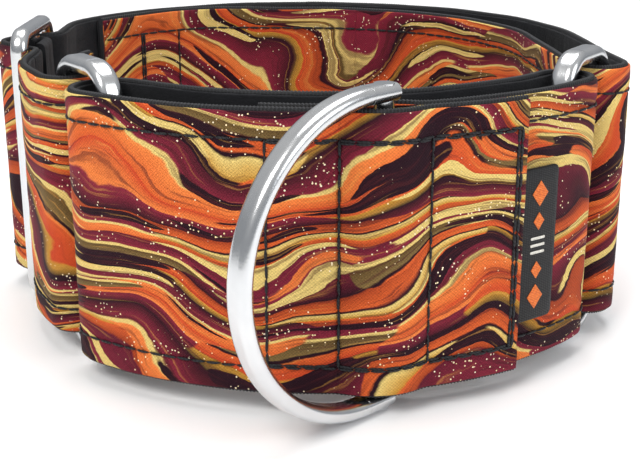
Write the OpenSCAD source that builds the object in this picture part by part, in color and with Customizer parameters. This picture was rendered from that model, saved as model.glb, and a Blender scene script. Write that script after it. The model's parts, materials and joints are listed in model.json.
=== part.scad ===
// Martingale collar: fabric neck band and control loop joined by two link rings,
// tri-glide adjuster on the left, leash D-ring in a pocket of the loop, side label.
// Origin: centre of the bounding box at the rest plane. +Z up, -Y front, lengths in mm.

/* [Neck band] */
// outer radius of the neck band at the rear
neck_r = 60; // [50:1:90]
// width of every strap
strap_w = 50; // [25:1:60]
// straight run of the right arm between rear arc and ring fold
right_run = 33; // [20:1:45]
// turn of the left arm between adjuster and ring fold, degrees
left_turn = 30; // [20:1:40]
// radius of that turn
left_turn_r = 30; // [26:1:50]
// straight run of the left arm from that turn to the ring fold
left_lead = 5.9; // [1.5:0.1:10]

/* [Control loop] */
// how much larger the outer radius of the control loop is than that of the neck band
loop_over = 7.5; // [5:0.5:12]
// sideways offset of the loop centre from the neck centre
loop_dx = 3; // [-5:0.5:8]
// forward offset of the loop centre from the neck centre
loop_dy = 3.5; // [0:0.5:8]
// angle of the pocket centre round the loop, degrees
pocket_at = -80.5; // [-95:0.5:-70]
// angle covered by the pocket, degrees
pocket_span = 14; // [12:0.5:18]
// angle of the sewn outer end of the loop, degrees
outer_end_at = -58.5; // [-62:0.5:-55]
// angle of the sewn under end of the loop, degrees
under_end_at = -98.5; // [-106:0.5:-94]
// gap between the two halves of the inner run under the pocket
inner_gap = 5.5; // [5:0.1:7]

/* [Strap layers] */
// printed face fabric thickness
face_t = 0.6; // [0.4:0.1:1]
// webbing core thickness
web_t = 1.2; // [0.8:0.1:2]
// soft lining thickness
lining_t = 0.8; // [0.5:0.1:1.5]
// how far the webbing shows past face and lining at each edge
edge_show = 0.6; // [0.2:0.1:1.5]
// gap between the two runs of a strap at a ring fold
channel = 7; // [6.6:0.1:9]
// thread thickness of the stitching
thread_t = 0.35; // [0.2:0.05:0.6]
// visible width of a line of stitching
thread_w = 0.6; // [0.3:0.1:1.2]
// distance of the top stitching from the strap edge
stitch_in = 5; // [3:0.5:8]
// distance of a closing seam from the cut end of a strap
seam_in = 1.6; // [1:0.1:3]

/* [Link rings] */
// wire thickness across the ring plane
wire_axial = 4.6; // [3:0.2:5]
// wire thickness in the ring plane
wire_radial = 3; // [2.4:0.2:4]
// distance between the two bars of a link ring, centre to centre
ring_span = 16.9; // [15.5:0.1:20]
// centre-line radius of the ring corners
ring_corner = 5.4; // [3.6:0.1:5.6]
// space left inside ring, adjuster and D-ring above and below a strap
edge_clear = 0.6; // [0.5:0.1:2]

/* [Leash D-ring] */
// diameter of the straight bar in the pocket
d_bar = 3.4; // [2.6:0.2:4]
// straight part of the bow before its arc
d_leg = 4; // [2:0.5:12]
// angle of the bow from straight ahead towards the left, degrees
d_swing = 46; // [-20:1:46]

/* [Adjuster] */
// distance between neighbouring bars of the adjuster
bar_pitch = 12; // [11:0.5:15]
// centre-line radius of the adjuster corners
slider_corner = 3.2; // [2.6:0.1:3.8]
// wire thickness across the adjuster plane
slider_axial = 3.6; // [3.2:0.2:4.6]
// distance of the adjuster plane inside the outer radius of the neck band
slider_in = 2.8; // [1:0.1:8]
// distance of the adjuster centre in front of the neck centre
slider_dy = 2; // [-4:0.5:8]
// free travel kept at each end of the raised strap
slider_play = 3.8; // [2.4:0.1:6]

/* [Label] */
// label width
label_w = 9; // [6:0.5:14]
// label height
label_h = 28; // [16:1:36]
// label thickness
label_t = 0.7; // [0.4:0.1:1.2]
// how far the middle of the label lies under the middle of the strap
label_drop = 2.5; // [0:0.5:8]

/* [Fits] */
// clearance between bodies that move against each other
fit = 0.3; // [0.2:0.05:0.5]
// clearance between two stacked straps
ply_gap = 0.1; // [0.05:0.05:0.3]
// gap in a strap where it bends at a joint
bend_gap = 1; // [0.8:0.1:2]

/* [Hidden] */
$fn = 96;
cotton = [0.78, 0.33, 0.12];
black_webbing = [0.08, 0.08, 0.09];
black_lining = [0.13, 0.13, 0.14];
black_thread = [0.04, 0.04, 0.05];
chrome = [0.8, 0.81, 0.83];
seam = 0.02;                                   // straight runs are this much thinner, each side
lap = 0.15;                                    // and reach this far into their neighbours
strap_t = face_t + web_t + lining_t;
ring_h = strap_w + 2*edge_clear + 2*wire_radial;
mid_z = ring_h/2;
strap_z = mid_z - strap_w/2;
loop_r = neck_r + loop_over;
neck_c = [0.87, 15.47];                        // neck centre in the collar's frame
loop_c = neck_c + [loop_dx, -loop_dy];

// poses along a strap: [x, y, heading]; a run is [radius, turn] or [length, 0];
// turn is negative towards the strap's lined side, m = -1 mirrors the run
function polar(c, r, a) = [c.x + r*cos(a), c.y + r*sin(a)];
function fwd(p, s, m) = s[1] == 0
    ? [p.x + s[0]*cos(p.z), p.y + s[0]*sin(p.z), p.z]
    : let(k = m*sign(s[1])*s[0], c = [p.x - k*sin(p.z), p.y + k*cos(p.z)], t = m*s[1])
      [c.x + k*sin(p.z + t), c.y - k*cos(p.z + t), p.z + t];
function after(p, segs, m, i = 0) = i == len(segs) ? p : after(fwd(p, segs[i], m), segs, m, i + 1);
function lined_side(p, d, m) = [p.x + m*d*sin(p.z), p.y - m*d*cos(p.z)];
function deg(len, r) = len/r*180/PI;
function apart(a, b) = sqrt((a.x - b.x)^2 + (a.y - b.y)^2);
function bearing(a, b) = atan2(b.y - a.y, b.x - a.x);

// right arm: rear arc, straight run, fold round the ring bar, way back, inner arc
fold_r = (2*strap_t + channel)/2;
arm_end_a = 5;                                 // angle where the right arm leaves the rear arc
arm_bend_a = 25;                               // angle of the right arm's bending line
inner_r = neck_r - 2*fold_r;                   // neck side of the inner run
bend_deg = deg(bend_gap, neck_r)/2;
inner_bend_deg = deg(2*bend_gap, inner_r)/2;
right_start = [each polar(neck_c, neck_r, arm_bend_a - bend_deg), arm_bend_a - bend_deg - 90];
right_segs = [[neck_r, -(arm_bend_a - bend_deg - arm_end_a)], [right_run, 0], [fold_r, -180],
              [right_run, 0], [inner_r, arm_bend_a - inner_bend_deg - arm_end_a]];
right_fold = after(right_start, [right_segs[0], right_segs[1]], 1);
right_far = lined_side(right_fold, fold_r, 1);

// adjuster: the strap dips inside both end bars and rises over the centre bar
bar_r = wire_radial/2;
bar_core = (slider_axial - wire_radial)/2;      // round edges of an end bar off the adjuster plane
dip_r = bar_r + fit;
crest_r = bar_r + 2*ply_gap + 2*strap_t + fit;
rise_span = sqrt(bar_pitch^2 + bar_core^2);
rise_a = atan(bar_core/bar_pitch) + asin((dip_r + crest_r)/rise_span);
ramp = sqrt(rise_span^2 - (dip_r + crest_r)^2);
slider_c = neck_c + [slider_in - neck_r, -slider_dy];
run_x = slider_c.x + bar_core + dip_r;         // face of the strap where it passes inside the bars
flat = 3;                                      // flat part of the raised strap past each end bar
crest_segs = [[flat, 0], [dip_r, rise_a], [ramp, 0], [crest_r, -2*rise_a], [ramp, 0],
              [dip_r, rise_a], [flat, 0]];
crest_start = [run_x, slider_c.y + bar_pitch + flat, -90];

// sewn return end: once round the centre bar, its inner ply stopping short of the rising strap
wrap_r = bar_r + ply_gap + strap_t;
wrap_tail = 3.2;
lined_r = dip_r + strap_t;
wrap_ply = bar_pitch - lined_r*sin(rise_a) - fit
    - (bar_core + lined_r*cos(rise_a) - bar_r - ply_gap)/tan(rise_a);

// rear: right bend over the top to the straight lead into the adjuster
lead_a = 150;                                  // angle where the lead starts
lead_r = 20;
tie = 0.4;                                     // short straight between two arcs
lead_turn = 180 - lead_a;                      // turn left until the lead runs straight forward
lead_p = polar(neck_c, neck_r, lead_a);
lead_1 = (lead_p.x - run_x - lead_r*(1 - cos(lead_turn)))/sin(lead_turn);
lead_2 = lead_p.y - lead_1*cos(lead_turn) - lead_r*sin(lead_turn) - crest_start.y - slider_play;
rear_start = [each polar(neck_c, neck_r, arm_bend_a + bend_deg), arm_bend_a + bend_deg + 90];
rear_segs = [[neck_r, -(lead_a - arm_bend_a - bend_deg)], [lead_1, 0], [lead_r, -lead_turn],
             [lead_2, 0]];

// inner run: concentric with the rear, then out to lie on it where the two are sewn together
sewn_a = 124;                                  // angle where both runs meet
inner_end_a = 149;
seam_angles = [1, 12];                         // stitched lines past that angle
sewn_r = neck_r - 2*strap_t - ply_gap - tie*sin(inner_end_a - sewn_a);
ease_r = 20;
ease_t = sqrt((sewn_r - ease_r)^2 - (inner_r - ease_r)^2);
ease_a = atan(ease_t/(inner_r - ease_r));
inner_start = [each polar(neck_c, inner_r, arm_bend_a + inner_bend_deg),
               arm_bend_a + inner_bend_deg + 90];
inner_segs = [[inner_r, sewn_a - ease_a - arm_bend_a - inner_bend_deg], [ease_t, 0],
              [ease_r, ease_a], [tie, 0], [sewn_r, inner_end_a - sewn_a]];

// left fold: from the adjuster round the link ring and back along the inside
tail = [12, 25];                               // radius and turn of its free inner end
left_start = [run_x, slider_c.y - bar_pitch - flat - slider_play, -90];
left_segs = [[tie, 0], [left_turn_r, -left_turn], [left_lead, 0], [fold_r, -180],
             [left_lead, 0], [left_turn_r - 2*fold_r, left_turn], [tie, 0], tail];
left_fold = after(left_start, [left_segs[0], left_segs[1], left_segs[2]], -1);
left_far = lined_side(left_fold, fold_r, -1);

// control loop radii, outside to inside
top_r = loop_r;
under_r = loop_r - strap_t - ply_gap;
lower_r = under_r - 2*strap_t - channel;       // neck side of the inner run
left_loop_fold = (top_r - lower_r)/2;
right_loop_fold = (under_r - lower_r)/2;
left_rho = top_r - left_loop_fold;
right_rho = under_r - right_loop_fold;
function swing_to(f, rho, s) = let(d = apart(f, loop_c))
    bearing(loop_c, f) + s*acos((d^2 + rho^2 - ring_span^2)/(2*d*rho));
left_at = swing_to(left_far, left_rho, 1);
right_at = swing_to(right_far, right_rho, -1);
left_near = polar(loop_c, left_rho, left_at);
right_near = polar(loop_c, right_rho, right_at);

// pocket edges and loop runs; lower means nearer to the left fold
pocket_l = pocket_at - pocket_span/2;
pocket_r = pocket_at + pocket_span/2;
half_gap = deg(bend_gap, loop_r)/2;
inner_half = deg(inner_gap, lower_r)/2;
left_top = [each polar(loop_c, top_r, pocket_l - half_gap), pocket_l - half_gap - 90];
left_loop_segs = [[top_r, -(pocket_l - half_gap - left_at)], [tie, 0],
                  [left_loop_fold, -180], [tie, 0],
                  [lower_r, pocket_at - inner_half - left_at]];
right_inner = [each polar(loop_c, lower_r, pocket_at + inner_half), pocket_at + inner_half + 90];
right_loop_segs = [[lower_r, right_at - pocket_at - inner_half], [tie, 0],
                   [right_loop_fold, -180], [tie, 0], [under_r, -(right_at - pocket_r - half_gap)]];

// pocket: both plies bow apart round the bar of the D-ring
bow_out = d_bar/2 + fit + ply_gap;
pocket_half = pocket_span/2 - half_gap;
pocket_chord = 2*top_r*sin(pocket_half);
pocket_sag = bow_out + top_r*(1 - cos(pocket_half));
pocket_top_r = (pocket_chord^2/4 + pocket_sag^2)/(2*pocket_sag);
pocket_top_turn = 2*asin(pocket_chord/2/pocket_top_r);
pocket_top_c = polar(loop_c, top_r*cos(pocket_half) + pocket_sag - pocket_top_r, pocket_at);
under_chord = 2*(under_r - strap_t)*sin(pocket_half);
under_sag = bow_out - (under_r - strap_t)*(1 - cos(pocket_half));
pocket_under_r = (under_chord^2/4 + under_sag^2)/(2*under_sag);
pocket_under_turn = 2*asin(under_chord/2/pocket_under_r);
bar_at = polar(loop_c, loop_r - strap_t - ply_gap/2, pocket_at);
d_rise = (strap_w + edge_clear + wire_radial)/2;    // centre line of the D-ring above its middle

// part of a flat ring between radii r1 and r2, from angle 0 to a
module sector(r1, r2, a) {
    reach = 2*(r2 + 1);
    n = ceil(a/60);
    intersection() {
        difference() { circle(r2); circle(r1); }
        polygon([[0, 0], for (i = [0:n]) reach*[cos(a*i/n), sin(a*i/n)]]);
    }
}

// plan of one run of a strap between offsets a and b from its printed face
module run(s, a, b) {
    if (s[1] == 0) translate([-lap, -b + seam]) square([s[0] + 2*lap, b - a - 2*seam]);
    else if (s[1] > 0) translate([0, s[0]]) rotate(-90) sector(s[0] + a, s[0] + b, s[1]);
    else translate([0, -s[0]]) rotate(90 + s[1]) sector(s[0] - b, s[0] - a, -s[1]);
}

module go(s) {
    if (s[1] == 0) translate([s[0], 0]) children();
    else translate([0, sign(s[1])*s[0]]) rotate(s[1]) translate([0, -sign(s[1])*s[0]]) children();
}

module chain(segs, a, b, i = 0) {
    if (i < len(segs)) {
        run(segs[i], a, b);
        go(segs[i]) chain(segs, a, b, i + 1);
    }
}

module band(p, segs, m, a, b, z, h) {
    translate([p.x, p.y, z]) rotate([0, 0, p.z]) linear_extrude(h)
        mirror([0, m < 0 ? 1 : 0]) chain(segs, a, b);
}

module face(p, segs, m = 1) {
    color(cotton)
        band(p, segs, m, 0, face_t, strap_z + edge_show, strap_w - 2*edge_show);
}

module webbing(p, segs, m = 1) {
    color(black_webbing) band(p, segs, m, face_t, face_t + web_t, strap_z, strap_w);
}

module lining(p, segs, m = 1) {
    color(black_lining)
        band(p, segs, m, face_t + web_t, strap_t, strap_z + edge_show, strap_w - 2*edge_show);
}

// thread lying on the printed face: top and bottom lines plus upright lines
module threads(p, segs, m = 1) {
    for (z = [strap_z + stitch_in, strap_z + strap_w - stitch_in - thread_w])
        band(p, segs, m, -thread_t, 0, z, thread_w);
}

module upright(c, r, a, wide = thread_w) {
    translate([c.x, c.y, strap_z + stitch_in]) rotate([0, 0, a])
        translate([r, -wide/2, 0]) cube([thread_t, wide, strap_w - 2*stitch_in]);
}

module wire_profile(across, d = 0) {
    core = across - wire_radial;
    translate([-wire_radial/2 + d, -core/2]) square([wire_radial - 2*d, core]);
    for (s = [-1, 1]) translate([0, s*core/2]) circle(r = wire_radial/2 - d);
}

// straight piece of wire along +Z, its ends reaching into the slightly thinner bends
module wire(len, across) {
    translate([0, 0, -lap]) linear_extrude(len + 2*lap) wire_profile(across);
}

module bend(r, a, across) {
    rotate_extrude(angle = a) translate([r, 0]) wire_profile(across, seam);
}

// closed rounded frame of wire in the X-Z plane, centre line w by h
module wire_frame(w, h, r, across) {
    for (x = [-1, 1]) translate([x*w/2, 0, -h/2 + r]) wire(h - 2*r, across);
    for (z = [-1, 1]) translate([-w/2 + r, 0, z*h/2]) rotate([0, 90, 0]) wire(w - 2*r, across);
    for (q = [0:3]) rotate([0, -90*q, 0])
        translate([(q % 2 == 0 ? w : h)/2 - r, 0, (q % 2 == 0 ? h : w)/2 - r])
            rotate([90, 0, 0]) bend(r, 90, across);
}

module link_ring(near, far) {
    m = (near + far)/2;
    color(chrome) translate([m.x, m.y, mid_z]) rotate([0, 0, bearing(near, far)])
        wire_frame(ring_span, ring_h - wire_radial, ring_corner, wire_axial);
}

module rear_outer_face() { face(rear_start, rear_segs, -1); }
module rear_outer_webbing() { webbing(rear_start, rear_segs, -1); }
module rear_outer_lining() { lining(rear_start, rear_segs, -1); }

module rear_inner_face() { face(inner_start, inner_segs); }
module rear_inner_webbing() { webbing(inner_start, inner_segs); }
module rear_inner_lining() { lining(inner_start, inner_segs); }

module rear_seam_stitching() {
    color(black_thread) {
        threads(inner_start, inner_segs);
        for (a = seam_angles) upright(neck_c, sewn_r - thread_t, sewn_a + a);
    }
}

module right_arm_face() { face(right_start, right_segs); }
module right_arm_webbing() { webbing(right_start, right_segs); }
module right_arm_lining() { lining(right_start, right_segs); }

module left_fold_face() { face(left_start, left_segs, -1); }
module left_fold_webbing() { webbing(left_start, left_segs, -1); }
module left_fold_lining() { lining(left_start, left_segs, -1); }

module slider_frame() {
    color(chrome) translate([slider_c.x, slider_c.y, mid_z]) rotate([0, 0, 90]) {
        wire_frame(2*bar_pitch, ring_h - wire_radial, slider_corner, slider_axial);
        translate([0, 0, wire_radial - ring_h/2]) cylinder(r = bar_r, h = ring_h - 2*wire_radial);
    }
}

module slider_wrap() {
    color(black_webbing)
        band([slider_c.x + wrap_r, slider_c.y - wrap_ply, 90],
             [[wrap_ply, 0], [wrap_r, -180 - rise_a], [wrap_tail, 0]], -1, 0, strap_t, strap_z, strap_w);
}

module slider_strap_face() { face(crest_start, crest_segs, -1); }
module slider_strap_webbing() { webbing(crest_start, crest_segs, -1); }
module slider_strap_lining() { lining(crest_start, crest_segs, -1); }

module left_link_ring() { link_ring(left_near, left_far); }
module right_link_ring() { link_ring(right_near, right_far); }

module pocket_top(a, b, z, h) {
    p = polar(loop_c, top_r, pocket_at + pocket_half);
    turn = pocket_top_turn;
    band([p.x, p.y, pocket_at - 90 + turn/2], [[pocket_top_r, -turn]], 1, a, b, z, h);
}

module pocket_top_face() {
    color(cotton) pocket_top(0, face_t, strap_z + edge_show, strap_w - 2*edge_show);
}

module pocket_top_webbing() {
    color(black_webbing) pocket_top(face_t, face_t + web_t, strap_z, strap_w);
}

module pocket_top_lining() {
    color(black_lining)
        pocket_top(face_t + web_t, strap_t, strap_z + edge_show, strap_w - 2*edge_show);
}

// the under ply bows towards the neck: its lined side is the outside of the curve
module pocket_under(a, b, z, h) {
    p = polar(loop_c, under_r - strap_t, pocket_at + pocket_half);
    turn = pocket_under_turn;
    band([p.x, p.y, pocket_at - 90 - turn/2], [[pocket_under_r, turn]], 1, a - strap_t,
         b - strap_t, z, h);
}

module pocket_under_face() {
    color(cotton) pocket_under(0, face_t, strap_z + edge_show, strap_w - 2*edge_show);
}

module pocket_under_webbing() {
    color(black_webbing) pocket_under(face_t, face_t + web_t, strap_z, strap_w);
}

module pocket_under_lining() {
    color(black_lining)
        pocket_under(face_t + web_t, strap_t, strap_z + edge_show, strap_w - 2*edge_show);
}

module pocket_stitching() {
    half = pocket_top_turn/2 - deg(thread_w, pocket_top_r);
    color(black_thread) {
        for (z = [strap_z + stitch_in, strap_z + strap_w - stitch_in - thread_w])
            pocket_top(-thread_t, 0, z, thread_w);
        for (s = [-1, 1]) upright(pocket_top_c, pocket_top_r, pocket_at + s*half);
    }
}

module leash_d_ring() {
    color(chrome) translate([bar_at.x, bar_at.y, mid_z])
        rotate([0, 0, -90 - d_swing]) {
            translate([0, 0, -d_rise - wire_radial/2]) cylinder(d = d_bar, h = 2*d_rise + wire_radial);
            for (z = [-1, 1]) translate([0, 0, z*d_rise]) rotate([0, 90, 0])
                translate([0, 0, -d_bar/2]) linear_extrude(d_leg + d_bar/2 + lap) wire_profile(wire_axial);
            translate([d_leg, 0, 0]) rotate([90, 0, 0]) rotate([0, 0, -90])
                bend(d_rise, 180, wire_axial);
        }
}

module loop_left_face() { face(left_top, left_loop_segs); }
module loop_left_webbing() { webbing(left_top, left_loop_segs); }
module loop_left_lining() { lining(left_top, left_loop_segs); }

left_under = [each polar(loop_c, under_r, pocket_l - half_gap), pocket_l - half_gap - 90];
left_under_segs = [[under_r, -(pocket_l - half_gap - under_end_at)]];

module loop_left_under_face() { face(left_under, left_under_segs); }
module loop_left_under_webbing() { webbing(left_under, left_under_segs); }
module loop_left_under_lining() { lining(left_under, left_under_segs); }

module loop_left_stitching() {
    color(black_thread) {
        threads(left_top, [left_loop_segs[0]]);
        upright(loop_c, top_r, under_end_at + deg(seam_in, top_r));
    }
}

module loop_right_face() { face(right_inner, right_loop_segs); }
module loop_right_webbing() { webbing(right_inner, right_loop_segs); }
module loop_right_lining() { lining(right_inner, right_loop_segs); }

right_top = [each polar(loop_c, top_r, outer_end_at), outer_end_at - 90];
right_top_segs = [[top_r, -(outer_end_at - pocket_r - half_gap)]];

module loop_right_top_face() { face(right_top, right_top_segs); }
module loop_right_top_webbing() { webbing(right_top, right_top_segs); }
module loop_right_top_lining() { lining(right_top, right_top_segs); }

module loop_right_stitching() {
    color(black_thread) {
        threads(right_top, right_top_segs);
        upright(loop_c, top_r, outer_end_at - deg(seam_in, top_r), 2*thread_w);
    }
}

module label_tab() {
    r = under_r + fit + label_t;
    a0 = outer_end_at + deg(fit + 2*ply_gap, r);
    a1 = a0 + deg(label_w, r);
    color(black_thread)
        band([each polar(loop_c, r, a1), a1 - 90], [[r, a0 - a1]], 1, 0, label_t,
             mid_z - label_h/2 - label_drop, label_h);
}

rear_outer_face();
rear_outer_webbing();
rear_outer_lining();
rear_inner_face();
rear_inner_webbing();
rear_inner_lining();
rear_seam_stitching();
right_arm_face();
right_arm_webbing();
right_arm_lining();
left_fold_face();
left_fold_webbing();
left_fold_lining();
slider_frame();
slider_wrap();
slider_strap_face();
slider_strap_webbing();
slider_strap_lining();
left_link_ring();
right_link_ring();
pocket_top_face();
pocket_top_webbing();
pocket_top_lining();
pocket_under_face();
pocket_under_webbing();
pocket_under_lining();
pocket_stitching();
leash_d_ring();
loop_left_face();
loop_left_webbing();
loop_left_lining();
loop_left_under_face();
loop_left_under_webbing();
loop_left_under_lining();
loop_left_stitching();
loop_right_face();
loop_right_webbing();
loop_right_lining();
loop_right_top_face();
loop_right_top_webbing();
loop_right_top_lining();
loop_right_stitching();
label_tab();
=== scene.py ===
import json
import math
import random

import bpy
import numpy as np
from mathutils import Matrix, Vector

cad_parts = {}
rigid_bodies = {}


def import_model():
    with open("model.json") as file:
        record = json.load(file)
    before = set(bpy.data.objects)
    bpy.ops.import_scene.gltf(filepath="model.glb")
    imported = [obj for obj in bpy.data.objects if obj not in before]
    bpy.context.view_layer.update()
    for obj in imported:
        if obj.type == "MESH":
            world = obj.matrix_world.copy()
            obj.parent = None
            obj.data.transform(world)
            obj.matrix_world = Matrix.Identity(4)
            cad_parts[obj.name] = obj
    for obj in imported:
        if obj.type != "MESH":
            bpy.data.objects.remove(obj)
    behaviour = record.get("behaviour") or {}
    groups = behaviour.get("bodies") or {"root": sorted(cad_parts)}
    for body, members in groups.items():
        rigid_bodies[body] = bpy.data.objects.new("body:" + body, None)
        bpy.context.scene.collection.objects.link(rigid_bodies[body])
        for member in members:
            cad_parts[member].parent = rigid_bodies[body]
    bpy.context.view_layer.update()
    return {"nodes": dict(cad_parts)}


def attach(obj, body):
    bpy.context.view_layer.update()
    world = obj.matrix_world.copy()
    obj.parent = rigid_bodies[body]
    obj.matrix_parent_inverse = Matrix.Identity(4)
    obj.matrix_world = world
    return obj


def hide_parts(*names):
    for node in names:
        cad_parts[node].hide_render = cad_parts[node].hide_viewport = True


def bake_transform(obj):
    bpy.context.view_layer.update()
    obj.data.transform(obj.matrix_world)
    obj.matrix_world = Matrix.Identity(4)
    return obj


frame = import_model()
MM = 0.001

# ---------------------------------------------------------------- collar sizes, mm, as in the CAD
NECK_C = (0.87, 15.47)
LOOP_C = (3.87, 11.97)
NECK_R, INNER_R, SEWN_R = 60.0, 47.8, 54.631
TOP_R, UNDER_R, LOWER_R = 67.5, 64.8, 52.6
FOLD_R, LEFT_LOOP_FOLD, RIGHT_LOOP_FOLD = 6.1, 7.45, 6.1
RIGHT_RUN, ARM_END_A = 33.0, 5.0
LEAD_A, LEAD_R = 150.0, 20.0
BAR_R, BAR_CORE, PITCH = 1.5, 0.3, 12.0
DIP_R, CREST_R = 1.8, 7.2
SLIDER_C = (NECK_C[0] - 57.2, NECK_C[1] - 2.0)
SLIDER_PLAY, FLAT = 3.8, 3.0
POCKET_AT, POCKET_HALF = -80.5, 6.5756
OUTER_END_A, UNDER_END_A = -58.5, -98.5
SEWN_A, INNER_END_A = 124.0, 149.0
INNER_SPLIT_A = 75.0
TIE = 0.4
FACE_T, WEB_T, LINING_T = 0.6, 1.2, 0.8
STRAP_T = FACE_T + WEB_T + LINING_T
PLY_GAP = 0.1
Z0, Z1 = 3.6, 53.6
MID_Z = (Z0 + Z1) / 2
EDGE_SHOW = 0.6
STITCH_IN = 5.3
RING_SPAN = 16.9
D_BAR_R = 1.7
FIT = 0.3                           # clearance between bodies, as in the CAD
EASE_R, SEAM_ANGLES = 20.0, (1, 12)  # way out of the inner run to its sewn end, and its seams
TAIL = (12, 25)                     # radius and turn of the left fold's free end
WRAP_TAIL = 3.2
LEFT_U0, LOOP_U0 = 300.0, 700.0     # where the print starts on the left band and on the loop
POCKET_SEAM, POCKET_EASE = 6.6, 7.8  # degrees from the pocket's middle to its seams and its ends
END_SEAM = 1.36                     # degrees from a sewn end of the loop to its seam


# ---------------------------------------------------------------- plan paths
def rad(a):
    return math.radians(a)


def polar(c, r, a):
    return (c[0] + r * math.cos(rad(a)), c[1] + r * math.sin(rad(a)))


def forward(p, s, m):
    """Pose [x, y, heading] after a run [radius, turn] or [length, 0]."""
    if s[1] == 0:
        return (p[0] + s[0] * math.cos(rad(p[2])), p[1] + s[0] * math.sin(rad(p[2])), p[2])
    k = m * math.copysign(1, s[1]) * s[0]
    c = (p[0] - k * math.sin(rad(p[2])), p[1] + k * math.cos(rad(p[2])))
    t = p[2] + m * s[1]
    return (c[0] + k * math.sin(rad(t)), c[1] - k * math.cos(rad(t)), t)


def trace(p, segs, m, step=0.25):
    """Points along the printed face of a strap run."""
    out = [p[:2]]
    for s in segs:
        length = s[0] if s[1] == 0 else s[0] * abs(rad(s[1]))
        n = max(1, int(math.ceil(length / step)))
        for i in range(1, n + 1):
            part = (s[0] * i / n, 0) if s[1] == 0 else (s[0], s[1] * i / n)
            out.append(forward(p, part, m)[:2])
        p = forward(p, s, m)
    return out


def ring_angle(fold, rho, side):
    """Where the inner bar of a link ring sits round the control loop, degrees."""
    dx, dy = fold[0] - LOOP_C[0], fold[1] - LOOP_C[1]
    d = math.hypot(dx, dy)
    a = math.degrees(math.atan2(dy, dx))
    return a + side * math.degrees(math.acos((d * d + rho * rho - RING_SPAN ** 2) / (2 * d * rho)))


class Line:
    """A smooth plan line sampled evenly; side is +1 where the lining is on the right of the way."""

    def __init__(self, points, side, ease=0.0):
        p = np.array(points, float)
        p = p[np.r_[True, np.hypot(*np.diff(p, axis=0).T) > 1e-6]]
        s = np.r_[0, np.cumsum(np.hypot(*np.diff(p, axis=0).T))]
        fine = 0.1
        n = int(round(s[-1] / fine)) + 1
        u = np.linspace(0, s[-1], n)
        q = np.stack([np.interp(u, s, p[:, i]) for i in (0, 1)], 1)
        if ease > 0:
            half = int(3 * ease / fine)
            k = np.exp(-0.5 * (np.arange(-half, half + 1) * fine / ease) ** 2)
            k /= k.sum()
            head = 2 * q[0] - q[half:0:-1]
            tail = 2 * q[-1] - q[-2:-half - 2:-1]
            long = np.concatenate([head, q, tail])
            q = np.stack([np.convolve(long[:, i], k, "valid") for i in (0, 1)], 1)
        self.s = np.r_[0, np.cumsum(np.hypot(*np.diff(q, axis=0).T))]
        self.q = q
        t = np.gradient(q, axis=0)
        t /= np.hypot(*t.T)[:, None]
        self.n = np.stack([side * t[:, 1], -side * t[:, 0]], 1)
        self.length = float(self.s[-1])

    def at(self, u):
        x = [np.interp(u, self.s, self.q[:, i]) for i in (0, 1)]
        n = [np.interp(u, self.s, self.n[:, i]) for i in (0, 1)]
        return np.stack(x, -1), np.stack(n, -1)


# ---------------------------------------------------------------- smooth noise for cloth shapes
def waves(seed, count, shortest, longest):
    """A fixed sum of sine waves over (along, across), in mm; its values are about -1 to 1."""
    rnd = random.Random(seed)
    made = []
    for _ in range(count):
        w = shortest * (longest / shortest) ** rnd.random()
        a = rnd.uniform(0, math.tau)
        made.append((math.cos(a) / w * math.tau, math.sin(a) / w * math.tau, rnd.uniform(0, math.tau)))

    def value(u, v):
        total = 0
        for a, b, c in made:
            total = total + np.sin(a * u + b * v + c)
        return total / math.sqrt(count) * 0.8

    return value


SEAMS = []
CRUMPLE = waves(3, 14, 5, 22)
PUCKER = waves(5, 12, 1.8, 4.5)
EDGE_WAVE = waves(8, 8, 14, 60)
NAP = waves(11, 14, 2.5, 9)


# ---------------------------------------------------------------- mesh helpers
def make_object(name, verts, faces, uvs=None, flat_from=None):
    """A mesh in metres from points in mm; faces from flat_from on are shaded flat."""
    me = bpy.data.meshes.new(name)
    me.from_pydata((np.asarray(verts, float) * MM).tolist(), [], faces)
    smooth = np.ones(len(me.polygons), bool)
    if flat_from is not None:
        smooth[flat_from:] = False
    me.polygons.foreach_set("use_smooth", smooth)
    if uvs is not None:
        layer = me.uv_layers.new(name="strap")
        loops = np.zeros(len(me.loops), np.int32)
        me.loops.foreach_get("vertex_index", loops)
        layer.uv.foreach_set("vector", (np.asarray(uvs, np.float32)[loops] * 0.01).ravel())
    me.update()
    ob = bpy.data.objects.new(name, me)
    bpy.context.scene.collection.objects.link(ob)
    return ob


def tube_faces(n, k):
    """Quads of n rings of k points, then the two end caps."""
    i = np.arange(n - 1)[:, None] * k
    j = np.arange(k)[None, :]
    j2 = (j + 1) % k
    quads = np.stack([i + j, i + j2, i + k + j2, i + k + j], -1).reshape(-1, 4).tolist()
    return quads, [list(range(k - 1, -1, -1)), [(n - 1) * k + a for a in range(k)]]


def sweep(name, line, u0, step, section, shape, side):
    """Sweeps a closed section of (offset, z, v) along a line; shape(u, offset, z) moves its points."""
    n = int(math.ceil(line.length / step)) + 1
    u = np.linspace(0.0, line.length, n)
    x, nrm = line.at(u)
    sec = np.array(section, float)
    k = len(sec)
    off = np.repeat(sec[None, :, 0], n, 0)
    z = np.repeat(sec[None, :, 1], n, 0)
    v = np.repeat(sec[None, :, 2], n, 0)
    uu = np.repeat(u[:, None], k, 1) + u0
    off, z = shape(uu, off, z)
    pts = np.stack([x[:, None, 0] + nrm[:, None, 0] * off, x[:, None, 1] + nrm[:, None, 1] * off, z], -1)
    quads, caps = tube_faces(n, k)
    if side > 0:
        quads = [q[::-1] for q in quads]
        caps = [c[::-1] for c in caps]
    uv = np.stack([uu, v], -1).reshape(-1, 2)
    return make_object(name, pts.reshape(-1, 3), quads + caps, uv, len(quads))


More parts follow.
